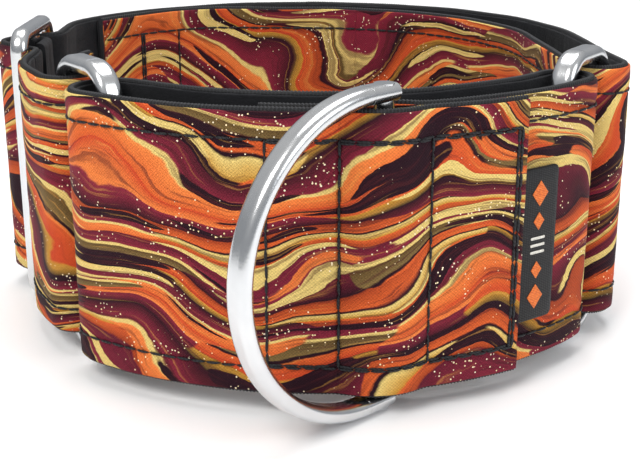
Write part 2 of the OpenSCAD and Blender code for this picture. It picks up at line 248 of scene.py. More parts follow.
# ---------------------------------------------------------------- strap sections
def round_slab(a, b, z0, z1, r, columns_a, columns_b, arc=4):
    """Closed section between offsets a and b with rounded ends; v runs over the a side."""
    out = []
    r = min(r, (b - a) / 2)
    for z in np.linspace(z0 + r, z1 - r, columns_a):
        out.append((a, z, z - MID_Z))
    for i in range(1, arc + 1):
        t = math.pi / 2 * i / arc
        out.append((a + r - r * math.cos(t), z1 - r + r * math.sin(t), z1 - r + r * t - MID_Z))
    v_top = out[-1][2]
    for i in range(arc + 1):
        t = math.pi / 2 * i / arc
        out.append((b - r + r * math.sin(t), z1 - r + r * math.cos(t), v_top + (b - a) - 2 * r + r * t))
    for z in np.linspace(z1 - r, z0 + r, columns_b)[1:-1]:
        out.append((b, z, v_top + (b - a) + z1 - z))
    v_low = z0 + r - r * math.pi / 2 - MID_Z
    for i in range(arc + 1):
        t = math.pi / 2 * i / arc
        out.append((b - r + r * math.cos(t), z0 + r - r * math.sin(t),
                    v_low - (b - a) + 2 * r - r * (1 - t)))
    for i in range(arc - 1, 0, -1):
        t = math.pi / 2 * i / arc
        out.append((a + r - r * math.cos(t), z0 + r - r * math.sin(t), z0 + r - r * t - MID_Z))
    keep, seen = [], set()
    for o in out:
        key = (round(o[0], 4), round(o[1], 4))
        if key not in seen:
            seen.add(key)
            keep.append(o)
    return keep


def cloth_shape(u, off, z):
    """Hems bulge, stitch lines draw the cloth in, and the field between them is slightly uneven."""
    front = off < FACE_T * 0.5
    from_edge = np.minimum(z - (Z0 + EDGE_SHOW), (Z1 - EDGE_SHOW) - z)
    line = np.exp(-((from_edge - (STITCH_IN - EDGE_SHOW)) / 0.75) ** 2)
    hole = 0.5 + 0.5 * np.cos(u * math.tau / STITCH_PITCH)
    field = 0.10 + 0.07 * CRUMPLE(u, z) + 0.05 * line * PUCKER(u, z)
    hem = np.clip(1 - np.abs(from_edge - 2.2) / 2.6, 0, 1)
    near = np.exp(-((from_edge - (STITCH_IN - EDGE_SHOW)) / 2.4) ** 2)
    d = field * (1 - 0.8 * hem) + 0.20 * line + 0.07 * line * hole + 0.05 * near * PUCKER(u * 0.8, z * 1.3)
    inside = np.clip((from_edge - STITCH_IN + EDGE_SHOW + 0.5) / 0.5, 0, 1)
    for seam in SEAMS:
        d = d + inside * (0.16 + 0.05 * hole) * np.exp(-((u - seam) / 0.55) ** 2)
    d = np.clip(d, 0.0, 0.42)
    off = np.where(front, off + d, off)
    edge = np.clip(1 - from_edge / 1.5, 0, 1)
    z = z + np.where(z > MID_Z, 1, -1) * edge * (0.10 * EDGE_WAVE(u, 0) - 0.08)
    return off, z


RIB = 0.62


def webbing_shape(u, off, z):
    """Ribs of the woven edge."""
    from_edge = np.minimum(z - Z0, Z1 - z)
    edge = np.clip(1 - from_edge / 1.2, 0, 1)
    rib = 0.5 - 0.5 * np.cos(u * math.tau / RIB + np.where(off > FACE_T + WEB_T / 2, 1.3, 0))
    z = z + np.where(z > MID_Z, -1, 1) * edge * (0.16 * rib + 0.08 - 0.08 * EDGE_WAVE(u, 3))
    mid = FACE_T + WEB_T / 2
    off = mid + (off - mid) * (1 - 0.14 * edge * rib)
    return off, z


def lining_shape(u, off, z):
    """The soft lining is slightly quilted between its stitch lines."""
    back = off > STRAP_T - LINING_T * 0.5
    from_edge = np.minimum(z - (Z0 + EDGE_SHOW), (Z1 - EDGE_SHOW) - z)
    line = np.exp(-((from_edge - (STITCH_IN - EDGE_SHOW)) / 0.9) ** 2)
    d = 0.12 + 0.08 * NAP(u, z) + 0.28 * line
    off = np.where(back, off - np.clip(d, 0, 0.5), off)
    edge = np.clip(1 - from_edge / 1.5, 0, 1)
    z = z + np.where(z > MID_Z, 1, -1) * edge * (0.12 * EDGE_WAVE(u, 9) - 0.1)
    return off, z


STITCH_PITCH = 2.7
CLOTH = round_slab(0.0, FACE_T - 0.03, Z0 + EDGE_SHOW, Z1 - EDGE_SHOW, 0.28, 64, 4, 3)
WEBBING = round_slab(FACE_T, FACE_T + WEB_T, Z0, Z1, 0.45, 5, 5, 3)
LINING = round_slab(FACE_T + WEB_T + 0.02, STRAP_T, Z0 + EDGE_SHOW, Z1 - EDGE_SHOW, 0.35, 4, 30, 3)


# ---------------------------------------------------------------- stitches
def stitch(along, across, out, centre, length, half_w, half_t):
    """One thread lying on the cloth: a low spindle whose ends dive into it."""
    rings, k = 7, 6
    verts = []
    for i in range(rings):
        t = -1 + 2 * i / (rings - 1)
        fat = max(0.25, 1 - abs(t) ** 4 * 0.75)
        lift = -0.16 * abs(t) ** 5
        for j in range(k):
            a = math.tau * j / k
            verts.append(centre + along * (t * length / 2) + across * (math.cos(a) * half_w * fat)
                         + out * (math.sin(a) * half_t * fat + lift))
    quads, caps = tube_faces(rings, k)
    return verts, [q[::-1] for q in quads] + [c[::-1] for c in caps]


class Threads:
    """Collects the stitches of one strap run into one mesh."""

    def __init__(self, line, side):
        self.line, self.side, self.verts, self.faces, self.uvs = line, side, [], [], []
        self.rnd = random.Random(21)

    def put(self, u, z, upright=False, length=2.66, half_w=0.25, half_t=0.2, offset=0.10):
        x, n = self.line.at(np.array([u]))
        x, n = x[0], n[0]
        out = np.array([-n[0], -n[1], 0])
        tangent = np.array([-n[1], n[0], 0]) * self.side
        up = np.array([0, 0, 1.0])
        tilt = self.rnd.uniform(-0.05, 0.05)
        along, across = (up, tangent) if upright else (tangent, up)
        along = along + across * tilt
        centre = np.array([x[0] + n[0] * offset, x[1] + n[1] * offset, z])
        v, f = stitch(along, across, out, centre, length, half_w, half_t)
        base = len(self.verts)
        self.verts += v
        self.faces += [[base + i for i in q] for q in f]
        self.uvs += [(u + (i // 6) * 0.35, (i % 6) * 0.2) for i in range(len(v))]

    def row(self, u_a, u_b, z, **kw):
        n = max(1, int(round((u_b - u_a) / STITCH_PITCH)))
        for i in range(n):
            self.put(u_a + (i + 0.5) * (u_b - u_a) / n, z + self.rnd.uniform(-0.04, 0.04), **kw)

    def column(self, u, z_a=Z0 + STITCH_IN, z_b=Z1 - STITCH_IN, **kw):
        n = int(round((z_b - z_a) / STITCH_PITCH))
        for i in range(n):
            self.put(u + self.rnd.uniform(-0.05, 0.05), z_a + (i + 0.5) * (z_b - z_a) / n, True,
                     **{"offset": 0.04, "half_t": 0.22, "length": 2.7, **kw})

    def hems(self, u_a, u_b, doubled=False):
        for z, s in ((Z0 + STITCH_IN, 1), (Z1 - STITCH_IN, -1)):
            self.row(u_a, u_b, z)
            if doubled:
                self.row(u_a + STITCH_PITCH / 2, u_b, z + s * 0.42)

    def build(self, name):
        ob = make_object(name, self.verts, self.faces, self.uvs)
        ob.data.materials.append(THREAD)
        return ob


# ---------------------------------------------------------------- node materials
class Graph:
    """Short way to write shader nodes: values may be numbers, tuples or sockets."""

    def __init__(self, name):
        self.mat = bpy.data.materials.new(name)
        self.mat.use_nodes = True
        self.tree = self.mat.node_tree
        self.bsdf = self.tree.nodes["Principled BSDF"]

    def node(self, kind, inputs=None, out=0, **props):
        n = self.tree.nodes.new("ShaderNode" + kind)
        for k, val in props.items():
            setattr(n, k, val)
        for k, val in (inputs or {}).items():
            self.set(n.inputs[k], val)
        return n.outputs[out]

    def set(self, socket, val):
        if isinstance(val, bpy.types.NodeSocket):
            self.tree.links.new(val, socket)
        else:
            socket.default_value = val

    def math(self, op, a, b=0.0, c=0.0, clamp=False):
        n = self.tree.nodes.new("ShaderNodeMath")
        n.operation, n.use_clamp = op, clamp
        for i, val in enumerate((a, b, c)):
            self.set(n.inputs[i], val)
        return n.outputs[0]

    def mix(self, fac, a, b, blend="MIX"):
        n = self.tree.nodes.new("ShaderNodeMix")
        n.data_type, n.blend_type = "RGBA", blend
        self.set(n.inputs["Factor"], fac)
        self.set(n.inputs[6], a)
        self.set(n.inputs[7], b)
        return n.outputs[2]

    def ramp(self, fac, stops):
        n = self.tree.nodes.new("ShaderNodeValToRGB")
        el = n.color_ramp.elements
        while len(el) > 1:
            el.remove(el[-1])
        el[0].position, el[0].color = stops[0]
        for pos, colour in stops[1:]:
            el.new(pos).color = colour
        self.set(n.inputs[0], fac)
        return n.outputs[0]

    def strap(self, scale=(1, 1, 1), shift=(0, 0, 0)):
        """Strap coordinates (along, across, 0) in mm, times scale."""
        uv = self.node("UVMap", uv_map="strap")
        return self.node("Mapping", {"Vector": uv, "Scale": tuple(100 * s for s in scale),
                                     "Location": shift})

    def noise(self, vector, detail=2.0, rough=0.5, distortion=0.0, scale=1.0, out=0):
        return self.node("TexNoise", {"Vector": vector, "Scale": scale, "Detail": detail,
                                      "Roughness": rough, "Distortion": distortion}, out=out)

    def smooth(self, x, low, high):
        return self.node("MapRange", {"Value": x, "From Min": low, "From Max": high},
                         interpolation_type="SMOOTHSTEP")

    def bump(self, height, strength, distance):
        return self.node("Bump", {"Height": height, "Strength": strength, "Distance": distance})

    def cloth(self, sheen, specular):
        self.bsdf.inputs["Sheen Weight"].default_value = sheen
        self.bsdf.inputs["Specular IOR Level"].default_value = specular

    def finish(self, **sockets):
        for k, val in sockets.items():
            self.set(self.bsdf.inputs[k.replace("_", " ")], val)
        return self.mat


def rgb(r, g, b, a=1.0):
    return (r, g, b, a)


ORANGE = (0.62, 0.105, 0.022)
LIGHT_ORANGE = (0.76, 0.20, 0.045)
RED_ORANGE = (0.52, 0.055, 0.016)
BURNT = (0.33, 0.045, 0.011)
BURGUNDY = (0.105, 0.007, 0.020)
WINE = (0.21, 0.015, 0.034)
PLUM = (0.016, 0.0020, 0.007)
OLIVE = (0.100, 0.056, 0.016)
KHAKI = (0.18, 0.115, 0.038)
MUSTARD = (0.50, 0.24, 0.030)
PALE = (0.70, 0.52, 0.17)

# width in mm of each marbled stripe, its two end colours, and how readily it takes gold specks
STRIPES = [
    (3.1, ORANGE, LIGHT_ORANGE, 0.6), (0.7, PALE, PALE, 0.1), (4.2, WINE, PLUM, 1.0),
    (1.6, OLIVE, MUSTARD, 0.7), (2.3, RED_ORANGE, ORANGE, 0.6), (0.6, PLUM, PLUM, 0.6),
    (2.3, KHAKI, OLIVE, 0.9), (0.9, PALE, PALE, 0.1), (3.6, WINE, BURGUNDY, 1.0),
    (1.6, BURNT, ORANGE, 0.6), (1.5, MUSTARD, PALE, 0.3), (0.5, PLUM, PLUM, 0.6),
    (2.7, ORANGE, BURNT, 0.6), (3.5, PLUM, WINE, 1.0), (2.4, LIGHT_ORANGE, RED_ORANGE, 0.5),
]


def cotton():
    g = Graph("printed_cotton")
    period = sum(s[0] for s in STRIPES)
    large = g.noise(g.strap((1 / 64, 1 / 120, 0), (3.1, 0.7, 0)), 0.0)
    middle = g.noise(g.strap((1 / 27, 1 / 19, 0), (0.4, 5.2, 0)), 0.0)
    small = g.noise(g.strap((1 / 9.5, 1 / 10, 0), (4.4, 2.2, 0)), 0.0)
    across = g.node("SeparateXYZ", {"Vector": g.strap()}, out=1)
    height = g.math("MULTIPLY_ADD", g.math("SUBTRACT", large, 0.5), 62.0, across)
    height = g.math("MULTIPLY_ADD", g.math("SUBTRACT", middle, 0.5), 25.0, height)
    height = g.math("MULTIPLY_ADD", g.math("SUBTRACT", small, 0.5), 3.6, height)
    edge = g.noise(g.strap((1 / 3.0, 1 / 1.4, 0)), 2.0, 0.5)
    height = g.math("MULTIPLY_ADD", g.math("SUBTRACT", edge, 0.5), 0.5, height)
    stops, at, soft = [], 0.0, 0.08
    for width, a, b, speck in STRIPES:
        stops.append(((at + soft) / period, rgb(*a, speck)))
        stops.append(((at + width - soft) / period, rgb(*b, speck)))
        at += width

    def stripes(shift):
        at = g.math("FRACT", g.math("DIVIDE", g.math("ADD", height, shift), period))
        colour = g.ramp(at, stops)
        return colour, colour.node.outputs[1]

    along = g.node("SeparateXYZ", {"Vector": g.strap()}, out=0)

    def lens(length, width, seed, level):
        """Islands drawn out along the flow, with firm edges."""
        at = g.node("CombineXYZ", {"X": g.math("MULTIPLY", along, 1 / length),
                                   "Y": g.math("MULTIPLY", height, 1 / width), "Z": seed})
        return g.smooth(g.noise(at, 0.0), level - 0.006, level + 0.006)

    colour, speckle = stripes(400.0)
    other, other_speckle = stripes(400.0 + 0.42 * period)
    lenses = lens(30, 6.5, 1.5, 0.57)
    colour = g.mix(lenses, colour, other)
    speckle = g.math("MULTIPLY_ADD", lenses, g.math("SUBTRACT", other_speckle, speckle), speckle)
    colour = g.mix(lens(22, 2.6, 7.5, 0.65), colour, rgb(*PLUM))
    colour = g.mix(lens(34, 2.2, 12.5, 0.69), colour, rgb(*PALE))
    # hair-fine streaks that follow the flow
    flow = g.node("CombineXYZ", {"X": g.math("MULTIPLY", along, 1 / 24),
                                 "Y": g.math("MULTIPLY", height, 1.1)})
    streak = g.noise(flow, 3.0, 0.6)
    colour = g.mix(g.math("MULTIPLY", g.smooth(streak, 0.52, 0.64), 0.6), colour, rgb(0.06, 0.008, 0.011))
    colour = g.mix(g.math("MULTIPLY", g.smooth(streak, 0.42, 0.32), 0.25), colour, rgb(0.80, 0.38, 0.08))
    # clusters of small gold and cream specks
    cells = g.tree.nodes.new("ShaderNodeTexVoronoi")
    g.set(cells.inputs["Vector"], g.strap())
    cells.inputs["Scale"].default_value = 1 / 0.72
    cells.inputs["Randomness"].default_value = 1.0
    size = g.node("SeparateColor", {"Color": cells.outputs["Color"]}, out=0)
    cluster = g.smooth(g.noise(g.strap((1 / 13, 1 / 8, 0), (7, 1, 0)), 2.0, 0.6), 0.36, 0.66)
    wish = g.math("MULTIPLY", g.math("MULTIPLY", cluster, speckle), 1.25)
    radius = g.math("MULTIPLY", g.math("SUBTRACT", wish, size), 0.55)
    radius = g.math("MINIMUM", radius, 0.25)
    dot = g.smooth(g.math("SUBTRACT", radius, cells.outputs["Distance"]), 0.0, 0.05)
    cream = g.mix(g.node("SeparateColor", {"Color": cells.outputs["Color"]}, out=1),
                  rgb(0.86, 0.66, 0.34), rgb(0.92, 0.80, 0.60))
    colour = g.mix(dot, colour, cream)
    # plain weave
    warp = g.math("SINE", g.math("MULTIPLY", along, math.tau / 0.62))
    weft = g.math("SINE", g.math("MULTIPLY", across, math.tau / 0.58))
    weave = g.math("MULTIPLY", warp, weft)
    grain = g.noise(g.strap((2.2, 2.2, 0)), 2.0, 0.6)
    shade = g.math("MULTIPLY_ADD", weave, 0.16, g.math("MULTIPLY_ADD", grain, 0.6, 0.66))
    colour = g.mix(1.0, colour, g.node("CombineColor", {0: shade, 1: shade, 2: shade}), "MULTIPLY")
    height_map = g.math("MULTIPLY_ADD", weave, 0.5, g.math("MULTIPLY", grain, 0.9))
    g.finish(Base_Color=colour, Roughness=g.math("MULTIPLY_ADD", grain, 0.14, 0.74),
             Normal=g.bump(height_map, 0.5, 0.00012))
    g.cloth(0.03, 0.16)
    g.bsdf.inputs["Sheen Roughness"].default_value = 0.5
    return g.mat


def webbing_material():
    g = Graph("black_webbing")
    x = g.node("SeparateXYZ", {"Vector": g.strap()}, out=0)
    y = g.node("SeparateXYZ", {"Vector": g.strap()}, out=1)
    rib = g.math("SINE", g.math("MULTIPLY", x, math.tau / RIB))
    pick = g.math("SINE", g.math("MULTIPLY", y, math.tau / 0.7))
    grain = g.noise(g.strap((2.4, 3.0, 0)), 2.0, 0.6)
    shade = g.math("MULTIPLY_ADD", rib, -0.30, grain)
    colour = g.ramp(shade, [(0.1, rgb(0.004, 0.0043, 0.005)), (0.6, rgb(0.011, 0.0115, 0.0135)),
                            (1.0, rgb(0.026, 0.027, 0.031))])
    h = g.math("MULTIPLY_ADD", rib, -0.4, g.math("MULTIPLY_ADD", pick, 0.25, grain))
    g.finish(Base_Color=colour, Roughness=g.math("MULTIPLY_ADD", grain, 0.2, 0.5),
             Normal=g.bump(h, 0.5, 0.0002))
    g.cloth(0.04, 0.3)
    return g.mat


def lining_material():
    g = Graph("black_lining")
    fluff = g.noise(g.strap((1.6, 1.6, 0)), 4.0, 0.7)
    patch = g.noise(g.strap((1 / 7, 1 / 5, 0)), 2.0, 0.5)
    mix = g.math("MULTIPLY_ADD", patch, 0.5, g.math("MULTIPLY", fluff, 0.6))
    colour = g.ramp(mix, [(0.25, rgb(0.006, 0.0063, 0.0075)), (0.8, rgb(0.018, 0.0185, 0.0215))])
    g.finish(Base_Color=colour, Roughness=g.math("MULTIPLY_ADD", fluff, 0.15, 0.8),
             Normal=g.bump(fluff, 0.6, 0.0003))
    g.cloth(0.06, 0.2)
    g.bsdf.inputs["Sheen Roughness"].default_value = 0.45
    return g.mat


def thread_material():
    g = Graph("black_thread")
    twist = g.node("TexWave", {"Vector": g.strap((1.0, 0.8, 0)), "Scale": 1.1, "Distortion": 0.6},
                   bands_direction="DIAGONAL")
    colour = g.ramp(twist, [(0.0, rgb(0.004, 0.004, 0.005)), (1.0, rgb(0.020, 0.020, 0.023))])
    g.finish(Base_Color=colour, Roughness=g.math("MULTIPLY_ADD", twist, 0.2, 0.45),
             Normal=g.bump(twist, 0.4, 0.0001))
    g.cloth(0.04, 0.25)
    return g.mat


def chrome_material():
    g = Graph("polished_chrome")
    place = g.node("TexCoord", out=3)
    haze = g.noise(place, 3.0, 0.6, scale=160.0)
    fine = g.noise(place, 2.0, 0.5, scale=2600.0)
    roll = g.noise(place, 1.0, 0.5, scale=70.0)
    colour = g.ramp(haze, [(0.3, rgb(0.60, 0.61, 0.62)), (0.7, rgb(0.67, 0.68, 0.69))])
    rough = g.math("MULTIPLY_ADD", haze, 0.10, g.math("MULTIPLY_ADD", fine, 0.05, 0.13))
    h = g.math("MULTIPLY_ADD", fine, 0.3, roll)
    g.finish(Base_Color=colour, Roughness=rough, Normal=g.bump(h, 0.08, 0.0003))
    g.bsdf.inputs["Metallic"].default_value = 1.0
    return g.mat


def label_material():
    g = Graph("woven_label_ground")
    y = g.node("SeparateXYZ", {"Vector": g.strap()}, out=1)
    x = g.node("SeparateXYZ", {"Vector": g.strap()}, out=0)
    pick = g.math("SINE", g.math("MULTIPLY", y, math.tau / 0.32))
    rib = g.math("SINE", g.math("MULTIPLY", x, math.tau / 0.55))
    h = g.math("MULTIPLY_ADD", rib, 0.35, pick)
    grain = g.noise(g.strap((1.5, 1.5, 0)), 2.0, 0.5)
    colour = g.ramp(grain, [(0.3, rgb(0.004, 0.004, 0.0045)), (0.75, rgb(0.011, 0.011, 0.0125))])
    g.finish(Base_Color=colour, Roughness=g.math("MULTIPLY_ADD", grain, 0.2, 0.38),
             Normal=g.bump(h, 0.35, 0.00008))
    g.cloth(0.04, 0.25)
    return g.mat


def yarn_material(name, dark, light):
    g = Graph(name)
    y = g.node("SeparateXYZ", {"Vector": g.strap()}, out=1)
    pick = g.math("SINE", g.math("MULTIPLY", y, math.tau / 0.32))
    grain = g.noise(g.strap((1.8, 1.8, 0)), 2.0, 0.5)
    colour = g.ramp(g.math("MULTIPLY_ADD", pick, 0.18, grain), [(0.25, rgb(*dark)), (0.75, rgb(*light))])
    g.finish(Base_Color=colour, Roughness=g.math("MULTIPLY_ADD", grain, 0.2, 0.5),
             Normal=g.bump(pick, 0.4, 0.00008))
    g.cloth(0.04, 0.25)
    return g.mat


COTTON = cotton()
WEB = webbing_material()
SOFT = lining_material()
THREAD = thread_material()
CHROME = chrome_material()
LABEL = label_material()
ORANGE_YARN = yarn_material("orange_yarn", (0.55, 0.10, 0.02), (0.85, 0.22, 0.04))
PALE_YARN = yarn_material("pale_yarn", (0.55, 0.52, 0.46), (0.80, 0.78, 0.72))


# ---------------------------------------------------------------- strap runs
def hold(ob, how):
    """Rides a piece on one body; given more than one, it only bakes the piece's transform and leaves it on
    no body.
    """
    if len(how) == 1:
        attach(ob, how[0])
    else:
        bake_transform(ob)


def strap_run(name, line, side, u0, how, replaces, seams=None, drawn=()):
    """The three layers of one stretch of strap, and its stitches; drawn lists its upright seams."""
    SEAMS[:] = [u0 + u for u in drawn]
    layers = (("cloth", CLOTH, cloth_shape, 0.6, COTTON, "printed_cotton"),
              ("webbing", WEBBING, webbing_shape, RIB / 4, WEB, "black_webbing"),
              ("lining", LINING, lining_shape, 1.0, SOFT, "black_lining"))
    for layer, section, shape, step, mat, slot in layers:
        ob = sweep(f"{name}_{layer}", line, u0, step, section, shape, side)
        ob.data.materials.append(mat)
        hold(ob, how)
        ending = "face" if layer == "cloth" else layer
        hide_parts(*[f"{r}_{ending}" for r in replaces])
    if seams is None:
        return None
    threads = Threads(line, side)
    seams(threads)
    ob = threads.build(f"{name}_stitches")
    hold(ob, how)
    return ob


rise_span = math.hypot(PITCH, BAR_CORE)
RISE_A = math.degrees(math.atan(BAR_CORE / PITCH) + math.asin((DIP_R + CREST_R) / rise_span))
RAMP = math.sqrt(rise_span ** 2 - (DIP_R + CREST_R) ** 2)
RUN_X = SLIDER_C[0] + BAR_CORE + DIP_R

# S1: rear centre, right arm, fold round the link ring, back to the rear centre
right_pts = trace((*polar(NECK_C, NECK_R, 90), 0),
                  [(NECK_R, -(90 - ARM_END_A)), (RIGHT_RUN, 0), (FOLD_R, -180), (RIGHT_RUN, 0),
                   (INNER_R, INNER_SPLIT_A - ARM_END_A)], 1)
right_line = Line(right_pts, 1)
strap_run("neck_right", right_line, 1, 0.0, ("neck_rear", "right_arm", (54, 52, 30), (54, 31, 30)),
          ["right_arm"], seams=lambda t: t.hems(0, right_line.length))

# S2: rear centre, lead, up to the top of the raised stretch over the adjuster's centre bar
lead_turn = 180 - LEAD_A
lead_p = polar(NECK_C, NECK_R, LEAD_A)
lead_1 = (lead_p[0] - RUN_X - LEAD_R * (1 - math.cos(rad(lead_turn)))) / math.sin(rad(lead_turn))
lead_2 = (lead_p[1] - lead_1 * math.cos(rad(lead_turn)) - LEAD_R * math.sin(rad(lead_turn))
          - (SLIDER_C[1] + PITCH + FLAT))
left_pts = trace((*polar(NECK_C, NECK_R, 90), 180),
                 [(NECK_R, -(LEAD_A - 90)), (lead_1, 0), (LEAD_R, -lead_turn), (lead_2 + FLAT, 0),
                  (DIP_R, RISE_A), (RAMP, 0), (CREST_R, -RISE_A)], -1)
left_line = Line(left_pts, -1)
strap_run("neck_left", left_line, -1, LEFT_U0, ("neck_rear", "slider", (-54, 42, 30), (-54, 29.5, 30)),
          ["rear_outer"], seams=lambda t: t.hems(0, left_line.length))

# S3: from the top of the raised stretch down inside the near bar, on to the left fold
crest_top = (SLIDER_C[0] - CREST_R, SLIDER_C[1], -90)
over_pts = trace(crest_top, [(CREST_R, -RISE_A), (RAMP, 0), (DIP_R, RISE_A), (FLAT + SLIDER_PLAY, 0)], -1)
over_line = Line(over_pts, -1)
OVER_U0 = LEFT_U0 + left_line.length
strap_run("adjuster_strap", over_line, -1, OVER_U0, ("slider", "neck_rear", (-54, 0.8, 30), (-54, -5.2, 30)),
          ["slider_strap"], seams=lambda t: t.hems(0, over_line.length))

# S4: from there round the left link ring and back inside
left_start = (RUN_X, SLIDER_C[1] - PITCH - FLAT - SLIDER_PLAY, -90)
LEFT_TURN, LEFT_TURN_R, LEFT_LEAD = 30.0, 30.0, 5.9
fold_segs = [(TIE, 0), (LEFT_TURN_R, -LEFT_TURN), (LEFT_LEAD, 0), (FOLD_R, -180), (LEFT_LEAD, 0),
             (LEFT_TURN_R - 2 * FOLD_R, LEFT_TURN), (TIE, 0), TAIL]
fold_line = Line(trace(left_start, fold_segs, -1), -1)
strap_run("left_fold", fold_line, -1, OVER_U0 + over_line.length,
          ("neck_rear", "left_fold", (-54, -5.4, 30), (-54, -13, 30)), ["left_fold"],
          seams=lambda t: t.hems(0, fold_line.length))

# S5: inner run from the rear centre to its sewn end
ease_t = math.sqrt((SEWN_R - EASE_R) ** 2 - (INNER_R - EASE_R) ** 2)
ease_a = math.degrees(math.atan(ease_t / (INNER_R - EASE_R)))
inner_pts = trace((*polar(NECK_C, INNER_R, INNER_SPLIT_A), INNER_SPLIT_A + 90),
                  [(INNER_R, SEWN_A - ease_a - INNER_SPLIT_A), (ease_t, 0), (EASE_R, ease_a), (TIE, 0),
                   (SEWN_R, INNER_END_A - SEWN_A)], 1)
inner_line = Line(inner_pts, 1)
seam_u = [inner_line.length - SEWN_R * rad(INNER_END_A - SEWN_A - a) for a in SEAM_ANGLES]


def inner_seams(t):
    t.hems(0, inner_line.length - 0.8)
    t.column(seam_u[0])
    for d in (-0.35, 0.35):
        t.column(seam_u[1] + d, half_w=0.32)


ob = strap_run("inner_left", inner_line, 1, right_line.length, ("neck_rear",), ["rear_inner"],
               seams=inner_seams, drawn=seam_u)
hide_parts("rear_seam_stitching")

# ---------------------------------------------------------------- control loop
right_fold = (*polar(NECK_C, NECK_R, ARM_END_A), ARM_END_A - 90)
right_fold = forward(right_fold, (RIGHT_RUN, 0), 1)
right_far = (right_fold[0] + FOLD_R * math.sin(rad(right_fold[2])),
             right_fold[1] - FOLD_R * math.cos(rad(right_fold[2])))
p = left_start
for s in fold_segs[:3]:
    p = forward(p, s, -1)
left_far = (p[0] - FOLD_R * math.sin(rad(p[2])), p[1] + FOLD_R * math.cos(rad(p[2])))
LEFT_AT = ring_angle(left_far, TOP_R - LEFT_LOOP_FOLD, 1)
RIGHT_AT = ring_angle(right_far, UNDER_R - RIGHT_LOOP_FOLD, -1)

# both plies of the pocket bow apart round the bar
bow_out = D_BAR_R + FIT + PLY_GAP
chord = 2 * TOP_R * math.sin(rad(POCKET_HALF))
sag = bow_out + TOP_R * (1 - math.cos(rad(POCKET_HALF)))
bow_r = (chord ** 2 / 4 + sag ** 2) / (2 * sag)
bow_turn = 2 * math.degrees(math.asin(chord / 2 / bow_r))
bow_apex = TOP_R * math.cos(rad(POCKET_HALF)) + sag
back_r = UNDER_R - STRAP_T
chord_u = 2 * back_r * math.sin(rad(POCKET_HALF))
sag_u = bow_out - back_r * (1 - math.cos(rad(POCKET_HALF)))
under_bow_r = (chord_u ** 2 / 4 + sag_u ** 2) / (2 * sag_u)
under_turn = 2 * math.degrees(math.asin(chord_u / 2 / under_bow_r))
under_apex = back_r * math.cos(rad(POCKET_HALF)) - sag_u + STRAP_T


def arc(c, r, a, b, step=0.25):
    n = max(2, int(abs(rad(b - a)) * r / step))
    return [polar(c, r, a + (b - a) * i / n) for i in range(n + 1)]


top_apex = (*polar(LOOP_C, bow_apex, POCKET_AT), POCKET_AT - 90)
low_apex = (*polar(LOOP_C, under_apex, POCKET_AT), POCKET_AT - 90)
half_top_l = trace(top_apex, [(bow_r, -bow_turn / 2)], 1)
half_top_r = trace((top_apex[0], top_apex[1], top_apex[2] + 180), [(bow_r, bow_turn / 2)], 1)[::-1]
under_face_r = under_bow_r - STRAP_T
half_low_l = trace(low_apex, [(under_face_r, under_turn / 2)], 1)
half_low_r = trace((low_apex[0], low_apex[1], low_apex[2] + 180), [(under_face_r, -under_turn / 2)], 1)[::-1]
POCKET_L, POCKET_R = POCKET_AT - POCKET_EASE, POCKET_AT + POCKET_EASE

end_a = arc(LOOP_C, TOP_R, OUTER_END_A, POCKET_R)
front = Line(end_a + half_top_r + half_top_l[1:] + arc(LOOP_C, TOP_R, POCKET_L, LEFT_AT), 1, 0.9)


def along_front(angle):
    """Length along the front ply at which it passes an angle of the loop."""
    x = front.q - np.array(LOOP_C)
    a = np.degrees(np.arctan2(x[:, 1], x[:, 0]))
    return float(front.s[np.argmin(np.abs(a - angle))])


split_u = along_front(POCKET_AT - POCKET_SEAM)
cut = int(np.searchsorted(front.s, split_u))
s9 = Line(front.q[:cut + 1], 1)
fold_l = trace((*polar(LOOP_C, TOP_R, LEFT_AT), LEFT_AT - 90),
               [(TIE, 0), (LEFT_LOOP_FOLD, -180), (TIE, 0)], 1)
tail_l = Line(arc(LOOP_C, TOP_R, LEFT_AT + 20, LEFT_AT) + fold_l
              + arc(LOOP_C, LOWER_R, LEFT_AT, POCKET_AT), 1, 0.6)
near_l = int(np.searchsorted(front.s, front.length - TOP_R * rad(10)))
far_l = int(np.argmin(np.hypot(*(tail_l.q - front.q[near_l]).T)))
s7 = Line(np.concatenate([front.q[cut:near_l], tail_l.q[far_l:]]), 1)
fold_r = trace((*polar(LOOP_C, LOWER_R, RIGHT_AT), RIGHT_AT + 90),
               [(TIE, 0), (RIGHT_LOOP_FOLD, -180), (TIE, 0)], 1)
s10 = Line(arc(LOOP_C, LOWER_R, POCKET_AT, RIGHT_AT) + fold_r
           + arc(LOOP_C, UNDER_R, RIGHT_AT, POCKET_R) + half_low_r, 1, 0.9)
s8 = Line(half_low_l + arc(LOOP_C, UNDER_R, POCKET_L, UNDER_END_A), 1, 0.9)

LEFT_BEND = ("leash_pocket", "loop_left", (6.6, -52, 30), (-4.5, -52, 30))
RIGHT_BEND = ("leash_pocket", "loop_right", (18.5, -50, 30), (29.5, -46.7, 30))
U7 = LOOP_U0 + s9.length
U10 = U7 + s7.length
U8 = U10 + s10.length

END_A_U = along_front(OUTER_END_A - END_SEAM)
POCKET_R_U = along_front(POCKET_AT + POCKET_SEAM)
END_B_U = along_front(UNDER_END_A + END_SEAM)


def seams9(t):
    t.hems(1.0, s9.length, doubled=True)
    for d in (-0.36, 0.36):
        t.column(END_A_U + d, half_w=0.34)
    t.column(POCKET_R_U)
    t.column(s9.length - 0.1)


def seams7(t):
    end_b = END_B_U - split_u
    t.hems(0, end_b, doubled=True)
    t.hems(end_b, s7.length)
    t.column(end_b)


